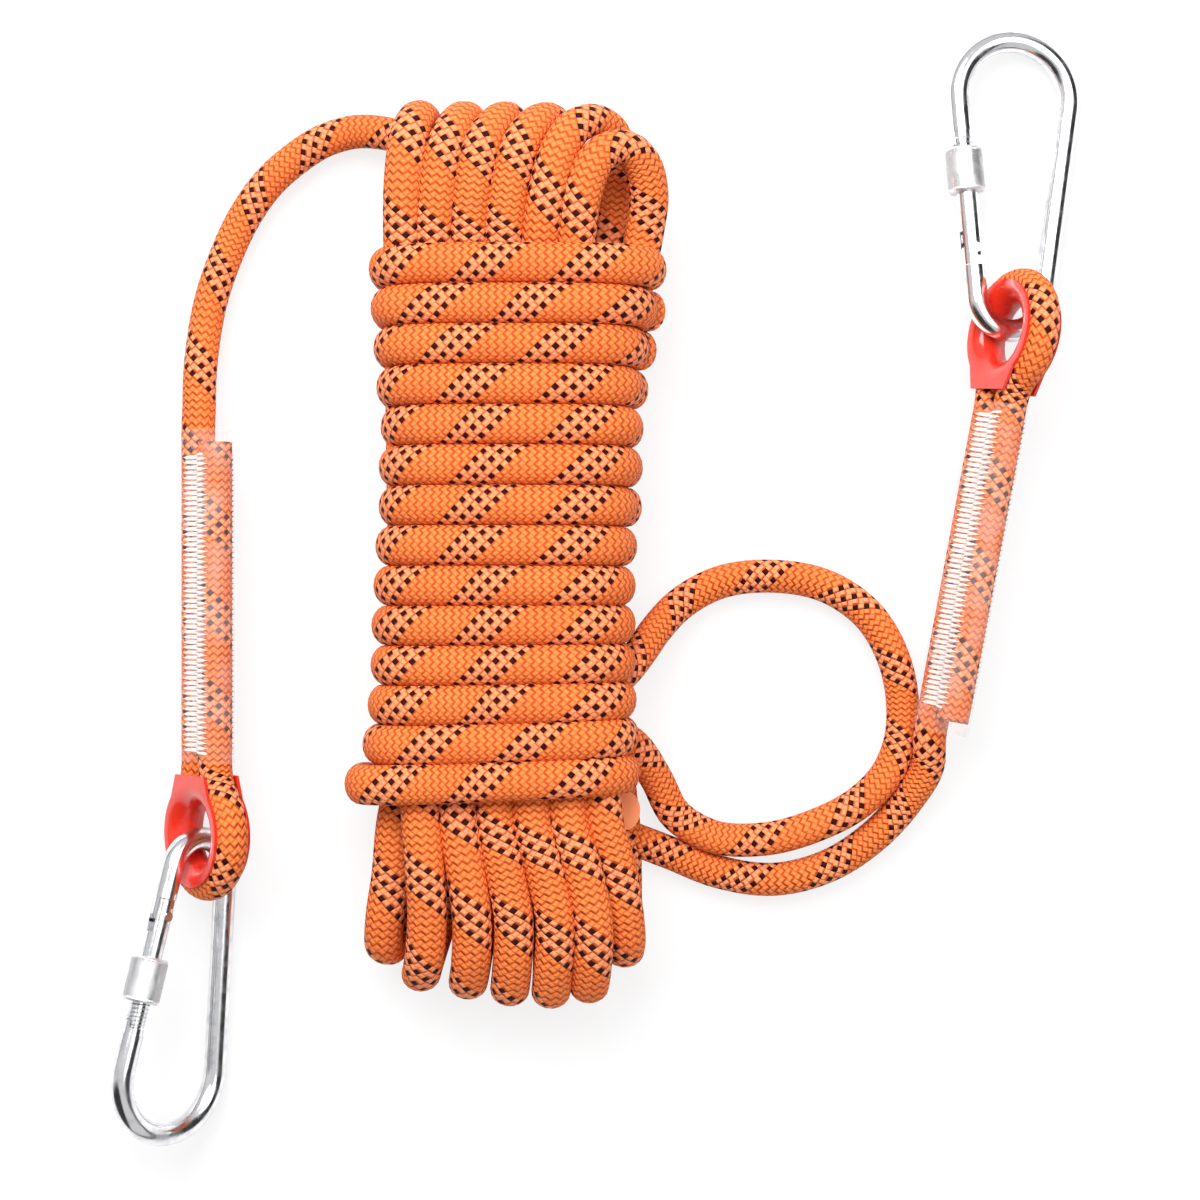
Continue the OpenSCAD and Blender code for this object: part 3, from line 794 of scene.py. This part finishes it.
@dataclass
class LooseRope:
    """Rope outside the hank, from listed routes."""

    rope: Rope
    left_route: Route = (
        (-59.1, 138.4, 12), (-69.6, 142.4, 8), (-79.1, 143.4, 5.6), (-89.1, 140.7, 5.6),
        (-98.7, 134.7, 5.6), (-107.1, 127.1, 5.6), (-114.8, 116.1, 5.6), (-120.8, 103.1, 5.8),
        (-124.9, 89.9, 7.5), (-127.1, 76.4, 9.4), (-127.9, 64.4, 11.6), (-127.9, 55.4, 12.8),
    )
    loop_route: Route = (
        (-1.1, -32.6, 25), (4.9, -27.6, 22), (10.4, -21.1, 17), (15.4, -14.1, 11.5), (23.2, -6, 7),
        (34.2, 0.3, 5.6), (52.3, 2.8, 5.6), (70.6, -0.9, 5.6), (83, -9.8, 5.6), (90.3, -22.1, 5.6),
        (93.6, -37.6, 5.6), (92.6, -49.6, 7), (88.2, -59.6, 9), (79.9, -68.1, 10),
        (65.9, -75.6, 10), (48.8, -80.1, 9.5), (32.9, -79.1, 9), (21.9, -72.6, 9),
        (15.4, -60.6, 12), (8.9, -50.6, 18), (0.9, -44.6, 24),
    )
    tail_route: Route = (
        (-11.1, -74.6, 12), (2.3, -78.1, 8), (19.7, -84.6, 5.6), (34.9, -90.6, 5.6),
        (52.9, -93.1, 5.6), (70.6, -88.6, 5.6), (84.9, -79.1, 5.6), (95.4, -67.1, 7.5),
        (100.9, -56.6, 11.5),
    )
    left_marks: Route = (
        (-93, 140.2), (-111, 122.3), (-121.6, 97.2), (-127.6, 67.6),
    )
    loop_marks: Route = (
        (23.3, -6), (49.4, 2.8), (75.9, -5.7), (91.6, -26.1), (92.2, -50.7), (75.9, -72.7),
        (48.2, -83.1), (20.5, -76.4),
    )
    tail_marks: Route = (
        (18.6, -82), (43.4, -89.6), (71.4, -86.4), (94, -72), (106.9, -53.1),
    )

    def build(self, eyes: dict[Side, "SewnEye"]) -> list[Object]:
        """Build the loose loop, and each tail with the eye that it ends in.

        Args:
            eyes: The sewn eye at each end.

        Returns:
            The rope objects.
        """
        radius = self.rope.diameter / 2
        loop = RopePiece("loose_loop", spline(self.loop_route), radius, marks=self.loop_marks)
        made = [self.rope.lay_out(loop, ["right_loop"], "loose")]
        tails = (
            (Side.LEFT, self.left_route, self.left_marks),
            (Side.RIGHT, self.tail_route, self.tail_marks),
        )
        for side, route, marks in tails:
            end = side.value
            line = spline([*route, *eyes[side].rope_points()])
            piece = RopePiece(f"{end}_tail_and_eye", line, radius, marks=marks)
            made.append(self.rope.lay_out(piece, [f"{end}_tail", f"{end}_eye_sheath"], "loose"))
        return made


@dataclass
class SewnEye:
    """Sewn eye round a thimble: its place comes from the carabiner's swing joint."""

    side: Side
    rope: Rope
    eye_r: float = 15.5
    throat_r: float = 14.0
    leg_gap: float = 0.3
    splice_l: float = 122.0
    sleeve_end: float = 126.0
    sleeve_start: float = 22.5
    turn_right: float = 10.5

    def __post_init__(self) -> None:
        """Work out the eye's own axes from its joint."""
        swing = f"{self.side.value}_carabiner_swing"
        joint = next(j for j in frame["joints"] if j["name"] == swing)
        self.centre = np.array(joint["pos_m"], float) / MM
        turn = 0.0 if self.side is Side.LEFT else math.radians(180 - self.turn_right)
        self.y = np.array([-math.sin(turn), math.cos(turn), 0.0])
        sign = 1.0 if self.side is Side.LEFT else -1.0
        self.z = np.array(joint["axis"], float) * sign
        self.x = np.cross(self.y, self.z)
        self.stand = -1.0 if self.side is Side.LEFT else 1.0

    def at(self, x: float, y: float, z: float = 0.0) -> np.ndarray:
        """Bring a point of the eye's own frame into the part's frame.

        Args:
            x: Millimetres across the legs.
            y: Millimetres along the splice, from the thimble's hole.
            z: Millimetres out of the eye's plane.

        Returns:
            The point in the part's frame, in millimetres.
        """
        return self.centre + x * self.x + y * self.y + z * self.z

    def rope_points(self) -> list[np.ndarray]:
        """Run the rope from the end of the tail round the thimble to its cut end.

        Returns:
            Points of its line, in the part's frame.
        """
        leg = (self.rope.diameter + self.leg_gap) / 2
        tx = leg + self.throat_r
        ty = math.sqrt((self.eye_r + self.throat_r) ** 2 - tx**2)
        turn = math.atan2(ty, tx)
        stand = [(leg, y) for y in np.linspace(self.sleeve_end + 2, ty + 6, 12)]
        throat = [
            (tx - self.throat_r * math.cos(a), ty - self.throat_r * math.sin(a))
            for a in np.linspace(0, turn, 4)
        ]
        crown = [
            (self.eye_r * math.cos(a), self.eye_r * math.sin(a))
            for a in np.linspace(turn, -math.pi / 2, 11)[1:]
        ]
        half = [*stand, *throat, *crown]
        back = [(-x, y) for x, y in reversed(half[:-1]) if y < self.splice_l]
        return [self.at(self.stand * x, y) for x, y in [*half, *back, (-leg, self.splice_l)]]

    def seam(self, material: Material) -> Object:
        """Sew the dense zigzag in the valley between the legs, on both faces.

        Args:
            material: The thread's material.

        Returns:
            The seam's object.
        """
        pitch, reach, over, thread = 0.8, 6.6, 1.6, 0.46
        rope_r = self.rope.diameter / 2
        leg = (self.rope.diameter + self.leg_gap) / 2
        start, stop = self.sleeve_start + 3, self.splice_l - 3
        lines = []
        for face in (1.0, -1.0):
            points = []
            for k in range(int((stop - start) / pitch)):
                y = start + k * pitch
                for part in np.linspace(-1, 1, 9)[:-1]:
                    # The thread goes further round the free leg and bridges the legs' valley
                    x = part * reach * (1 if k % 2 else -1) + over
                    height = math.sqrt(max(0.0, (rope_r + 0.1) ** 2 - (abs(x) - leg) ** 2))
                    floor = rope_r * 0.62 if abs(x) < leg else 0.0
                    along = y + (part + 1) / 2 * pitch
                    points.append(self.at(-self.stand * x, along, face * max(height, floor)))
            lines.append(np.array(points))
        made = tubes(f"{self.side.value}_seam", lines, thread, 5)
        made.data.materials.append(material)
        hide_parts(f"{self.side.value}_stitching")
        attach(made, self.rope.body)
        return made


def link(name: str, data: bpy.types.ID) -> Object:
    """Put a mesh, a lamp or a camera into the scene.

    Args:
        name: The object's name.
        data: What the object shows.

    Returns:
        The new object, at the origin.
    """
    made = bpy.data.objects.new(name, data)
    bpy.context.scene.collection.objects.link(made)
    return made


def tubes(name: str, lines: Sequence[np.ndarray], radius: float, sides: int) -> Object:
    """Thin round threads along lines, as one mesh.

    Args:
        name: The object's name.
        lines: Points of each thread, in millimetres.
        radius: The thread's radius.
        sides: Faces round it.

    Returns:
        The new object.
    """
    places: list[list[float]] = []
    faces: list[tuple[int, ...]] = []
    for line in lines:
        along = np.gradient(line, axis=0)
        along /= np.linalg.norm(along, axis=1)[:, None]
        # A slanted direction, which no thread runs along
        first = np.cross(along, (0.31, 0.52, 0.79))
        first /= np.linalg.norm(first, axis=1)[:, None]
        second = np.cross(along, first)
        base = len(places)
        for p, u, v in zip(line, first, second):
            for k in range(sides):
                a = 2 * math.pi * k / sides
                places.append(list((p + radius * (math.cos(a) * u + math.sin(a) * v)) * MM))
        for r in range(len(line) - 1):
            for k in range(sides):
                n = (k + 1) % sides
                b = base + r * sides
                faces.append((b + k, b + n, b + sides + n, b + sides + k))
        faces.append(tuple(base + k for k in reversed(range(sides))))
        faces.append(tuple(base + (len(line) - 1) * sides + k for k in range(sides)))
    mesh = bpy.data.meshes.new(name)
    mesh.from_pydata(places, [], faces)
    mesh.polygons.foreach_set("use_smooth", [True] * len(faces))
    mesh.update()
    return link(name, mesh)


def dress(node: str, material: Material) -> None:
    """Give a CAD node a material.

    Args:
        node: The node's name.
        material: The material it gets.
    """
    made = frame["nodes"][node]
    made.data.materials.clear()
    made.data.materials.append(material)


def deselect() -> None:
    """Leave edit mode and select nothing."""
    if bpy.context.object and bpy.context.object.mode != "OBJECT":
        bpy.ops.object.mode_set(mode="OBJECT")
    bpy.ops.object.select_all(action="DESELECT")


def edit(made: Object, picked: Callable[[Vector], bool]) -> None:
    """Enter edit mode with the vertices of a mesh selected whose place passes a test.

    Args:
        made: The object to edit.
        picked: Test of a vertex's place.
    """
    mesh = made.data
    for parts in (mesh.polygons, mesh.edges, mesh.vertices):
        parts.foreach_set("select", [False] * len(parts))
    for vertex in mesh.vertices:
        vertex.select = picked(vertex.co)
    bpy.ops.object.mode_set(mode="EDIT")
    bpy.context.tool_settings.mesh_select_mode = (True, False, False)


def widen(made: Object, picked: Callable[[Vector], bool], ratio: float) -> None:
    """Scale picked vertices about the axis that the mesh stands on.

    Args:
        made: The object to edit.
        picked: Test of a vertex's place.
        ratio: New distance from the axis over the old one.
    """
    edit(made, picked)
    bpy.ops.transform.resize(value=(ratio, ratio, 1))
    bpy.ops.object.mode_set(mode="OBJECT")


@dataclass
class Carabiner:
    """Screw-lock carabiner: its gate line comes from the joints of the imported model."""

    side: Side
    rivet_at: float = 15.3
    rivet_in: float = 0.3
    shoulder_at: float = 52.5
    nut_d: float = 11.5
    nut_l: float = 14.0
    nut_back: tuple[float, float] = (10.0, 5.3)
    gate_d: float = 6.8
    thread_root_d: float = 5.9
    thread_start: float = 41.8
    thread_stop: float = 50.2
    thread_pitch: float = 1.25

    def __post_init__(self) -> None:
        """Work out the gate line from the gate's and the nut's joints."""
        joints = {j["name"]: j for j in frame["joints"]}
        hinge = joints[f"{self.side.value}_gate_hinge"]
        z = np.array(hinge["axis"], float)
        x = np.array(joints[f"{self.side.value}_nut_screw"]["axis"], float)
        y = np.cross(z, x)
        origin = np.array(hinge["pos_m"], float) / MM - self.rivet_at * x - self.rivet_in * y
        rows = zip(np.column_stack([x, y, z]), origin)
        self.place = Matrix([
            *([*(float(v) for v in row), float(o) * MM] for row, o in rows), [0, 0, 0, 1],
        ])

    def along_line(self, made: Object, at: float) -> None:
        """Move a mesh that was made upright at the origin to a place on the gate line.

        Args:
            made: The object, whose mesh stands along Z.
            at: Distance along the gate line of the mesh's origin, in millimetres.
        """
        upright = Matrix(((0, 0, 1, at * MM), (0, 1, 0, 0), (-1, 0, 0, 0), (0, 0, 0, 1)))
        made.data.transform(self.place @ upright)
        made.data.update()

    def nut(self, material: Material) -> Object:
        """Turn the lock nut: chamfered ends, and diamond knurling between two plain collars.

        Args:
            material: The nut's material.

        Returns:
            The nut's object.
        """
        teeth, rows = 36, 13
        radius, half = self.nut_d / 2, self.nut_l / 2
        collar, inset, depth, chamfer, plain, clearance = 0.9, 0.35, 0.42, 0.6, 0.12, 0.06
        bore = self.gate_d / 2 + clearance
        deselect()
        bpy.ops.mesh.primitive_cylinder_add(
            vertices=2 * teeth, radius=(radius - chamfer) * MM, depth=self.nut_l * MM,
            end_fill_type="NOTHING",
        )
        made = bpy.context.object
        made.name = f"{self.side.value}_knurled_nut"
        levels = [-half, -half + chamfer, -half + collar]
        levels += list(np.linspace(-half + collar + inset, half - collar - inset, rows))
        levels += [half - collar, half - chamfer, half]
        bm = bmesh.new()
        bm.from_mesh(made.data)
        for z in levels[1:-1]:
            bmesh.ops.bisect_plane(
                bm, geom=bm.verts[:] + bm.edges[:] + bm.faces[:],
                plane_co=(0, 0, z * MM), plane_no=(0, 0, 1),
            )
        bm.to_mesh(made.data)
        bm.free()
        step = math.pi / teeth
        first = levels[3]
        gap = (levels[-4] - first) / (rows - 1)

        def is_tip(p: Vector) -> bool:
            """Whether a vertex is the tip of a knurl.

            Args:
                p: The vertex's place.

            Returns:
                True for every second vertex between the collars, in a chequered order.
            """
            row = (p.z / MM - first) / gap
            column = math.atan2(p.y, p.x) / step
            return -0.1 < row < rows - 0.9 and (round(row) + round(column)) % 2 == 0

        root = radius - depth
        widen(made, lambda p: abs(p.z) < (half - chamfer / 2) * MM, root / (radius - chamfer))
        widen(made, is_tip, radius / root)
        widen(
            made, lambda p: half - collar - 0.05 < abs(p.z) / MM < half - chamfer / 2,
            (radius - plain) / root,
        )
        # End faces in to the bore, then the bore itself
        for end in (-1, 1):
            edit(made, lambda p, e=end: abs(p.z - e * half * MM) < 1e-6)
            bpy.ops.mesh.extrude_region_move()
            inward = bore / (radius - chamfer)
            bpy.ops.transform.resize(value=(inward, inward, 1))
            bpy.ops.object.mode_set(mode="OBJECT")
        edit(made, lambda p: math.hypot(p.x, p.y) < (bore + 0.01) * MM)
        bpy.ops.mesh.bridge_edge_loops()
        bpy.ops.mesh.select_all(action="SELECT")
        bpy.ops.mesh.normals_make_consistent(inside=False)
        bpy.ops.object.mode_set(mode="OBJECT")
        back = self.nut_back[0 if self.side is Side.LEFT else 1]
        self.along_line(made, self.shoulder_at - back - half)
        finish(made, material, f"{self.side.value}_nut_body", 25)
        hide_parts(f"{self.side.value}_lock_nut")
        return made

    def thread(self, material: Material) -> Object:
        """Wind the thread's ridge round its root on the gate.

        Args:
            material: The thread's material.

        Returns:
            The thread's object.
        """
        turns = (self.thread_stop - self.thread_start - self.thread_pitch) / self.thread_pitch
        depth = (self.gate_d - self.thread_root_d) / 2
        lift, steps_a_turn = 0.12, 28
        deselect()
        bpy.ops.mesh.primitive_circle_add(vertices=3, radius=depth * 0.72 * MM, fill_type="NOTHING")
        made = bpy.context.object
        made.name = f"{self.side.value}_gate_thread"
        out = (self.thread_root_d / 2 + lift) * MM
        made.data.transform(Matrix(((0, 1, 0, out), (0, 0, 1, 0), (1, 0, 0, 0), (0, 0, 0, 1))))
        screw = made.modifiers.new("turns", "SCREW")
        screw.angle = turns * 2 * math.pi
        screw.screw_offset = turns * self.thread_pitch * MM
        screw.steps = screw.render_steps = int(turns * steps_a_turn)
        screw.use_smooth_shade = False
        bpy.ops.object.modifier_apply(modifier="turns")
        bpy.ops.object.mode_set(mode="EDIT")
        bpy.ops.mesh.select_all(action="SELECT")
        bpy.ops.mesh.fill_holes(sides=4)
        bpy.ops.mesh.select_all(action="SELECT")
        bpy.ops.mesh.normals_make_consistent(inside=False)
        bpy.ops.object.mode_set(mode="OBJECT")
        self.along_line(made, self.thread_start + self.thread_pitch / 2)
        finish(made, material, f"{self.side.value}_gate_body", 50)
        return made

    def build(self, steel: Material, nut: Material, spring: Material) -> list[Object]:
        """Dress the carabiner's nodes and add its thread and nut.

        Args:
            steel: Plated wire.
            nut: Matt knurled nut.
            spring: Drawn spring wire.

        Returns:
            The new pieces.
        """
        for part in ("carabiner_frame", "gate", "hinge_rivet"):
            dress(f"{self.side.value}_{part}", steel)
        for part in ("gate_spring", "gate_plunger"):
            dress(f"{self.side.value}_{part}", spring)
        return [self.nut(nut), self.thread(steel)]


def finish(made: Object, material: Material, body: str, angle: float) -> None:
    """Smooth a finished piece, dress it and let it ride on its body.

    Args:
        made: The piece.
        material: Its material.
        body: The body it moves with.
        angle: Edges sharper than this many degrees stay sharp.
    """
    deselect()
    made.select_set(True)
    bpy.context.view_layer.objects.active = made
    bpy.ops.object.shade_smooth_by_angle(angle=math.radians(angle))
    made.select_set(False)
    made.data.materials.clear()
    made.data.materials.append(material)
    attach(made, body)


@dataclass
class Studio:
    """Camera straight above, soft light and a pale floor."""

    aim: tuple[float, float] = (-2.14, -4.74)
    height: float = 850.0
    view_w: float = 382.2

    def camera(self) -> None:
        """Set the camera, looking straight down."""
        data = bpy.data.cameras.new("camera")
        data.sensor_width = 36.0
        data.sensor_fit = "HORIZONTAL"
        data.lens = 36.0 * self.height / self.view_w
        made = link("camera", data)
        made.location = (self.aim[0] * MM, self.aim[1] * MM, self.height * MM)
        bpy.context.scene.camera = made

    def light(self, name: str, place: Point, size: float, watts: float) -> None:
        """Add a soft square lamp that points at the middle of the floor.

        Args:
            name: The lamp's name.
            place: Where it stands, in metres.
            size: Side of its square, in metres.
            watts: Its power.
        """
        data = bpy.data.lights.new(name, "AREA")
        data.shape = "SQUARE"
        data.size = size
        data.energy = watts
        made = link(name, data)
        made.location = place
        made.rotation_euler = (-Vector(place)).to_track_quat("-Z", "Y").to_euler()

    def floor(self) -> None:
        """Lay the pale floor, which is white to the camera but keeps a faint shadow."""
        deselect()
        bpy.ops.mesh.primitive_plane_add(size=6.0, location=(0, 0, -0.0004))
        made = bpy.context.object
        made.name = "studio_floor"
        material, g, shader = principled("studio_floor", 0.9)
        g.feed(shader.inputs["Base Color"], (0.86, 0.86, 0.86))
        glow = g.node("ShaderNodeEmission", (1.0, 1.0, 1.0))
        path = g.node("ShaderNodeLightPath")
        mirrored = g.math("MULTIPLY", path.outputs["Is Glossy Ray"], 0.2)
        through = g.math("MAXIMUM", mirrored, path.outputs["Is Transmission Ray"])
        seen = g.math("MAXIMUM", path.outputs["Is Camera Ray"], through)
        share = g.math("MULTIPLY", seen, 0.8)
        blend = g.node("ShaderNodeMixShader", share, shader.outputs[0], glow.outputs[0])
        g.feed(g.tree.nodes["Material Output"].inputs[0], blend.outputs[0])
        made.data.materials.append(material)

    def world(self) -> None:
        """Plain light all round, and white behind everything."""
        world = bpy.data.worlds.new("studio")
        world.use_nodes = True
        bpy.context.scene.world = world
        g = Graph(world.node_tree)
        back = world.node_tree.nodes["Background"]
        path = g.node("ShaderNodeLightPath")
        direction = g.node("ShaderNodeTexCoord").outputs["Generated"]
        axes = g.node("ShaderNodeSeparateXYZ", direction)
        # Dark cards low down round the table, which polished metal mirrors as streaks
        low = g.remap(axes.outputs[2], 0.01, 0.04, 0.0, 1.0)
        dark = g.math("MULTIPLY", low, g.remap(axes.outputs[2], 0.08, 0.16, 1.0, 0.0))
        for toward in ((0.88, 0.15, 0.45), (-0.60, -0.66, 0.45)):
            toward = Vector(toward).normalized()
            card = g.node("ShaderNodeVectorMath", direction, toward, operation="DOT_PRODUCT")
            dark = g.math("MAXIMUM", dark, g.remap(card.outputs["Value"], 0.78, 0.88, 0.0, 1.0))
        light = g.math("MULTIPLY_ADD", dark, -0.64, 0.68)
        g.feed(back.inputs[0], (1.0, 1.0, 1.0))
        g.feed(back.inputs[1], g.math("MAXIMUM", path.outputs["Is Camera Ray"], light))

    def build(self) -> None:
        """Set up the whole studio."""
        bpy.context.scene.view_settings.view_transform = "Standard"
        self.camera()
        self.floor()
        self.world()
        self.light("key", (-0.25, 0.6, 0.95), 0.7, 14.5)
        self.light("fill", (0.5, 0.2, 1.0), 0.9, 5.5)


def main() -> None:
    """Build everything in order."""
    logging.basicConfig(level=logging.INFO, format="%(name)s: %(message)s")
    Studio().build()
    sheath = BraidFinish().make(braid_group())
    thread = ThreadFinish().make()
    core = ThreadFinish("core_yarn", (0.88, 0.86, 0.82), (0.62, 0.58, 0.52), 500.0).make()
    steel = SteelFinish().make()
    nut = SteelFinish("matt_nut", (0.78, 0.78, 0.79), (0.62, 0.62, 0.64), 0.36, 0.03, 0.75).make()
    spring = SteelFinish("spring_wire", (0.45, 0.45, 0.48), (0.25, 0.25, 0.28), 0.3, 0.02).make()
    thimble = ThimbleFinish().make()
    sleeve = SleeveFinish().make()
    rope = Rope(material=sheath)
    eyes = {side: SewnEye(side, rope) for side in Side}
    made = Hank(rope).build() + LooseRope(rope).build(eyes)
    for side, eye in eyes.items():
        dress(f"{side.value}_shrink_sleeve", sleeve)
        made.append(eye.seam(thread))
        dress(f"{side.value}_thimble", thimble)
        dress(f"{side.value}_eye_core", core)
        made += Carabiner(side).build(steel, nut, spring)
    for piece in made:
        log.info("%s: %d faces", piece.name, len(piece.data.polygons))


if __name__ == "__main__":
    main()
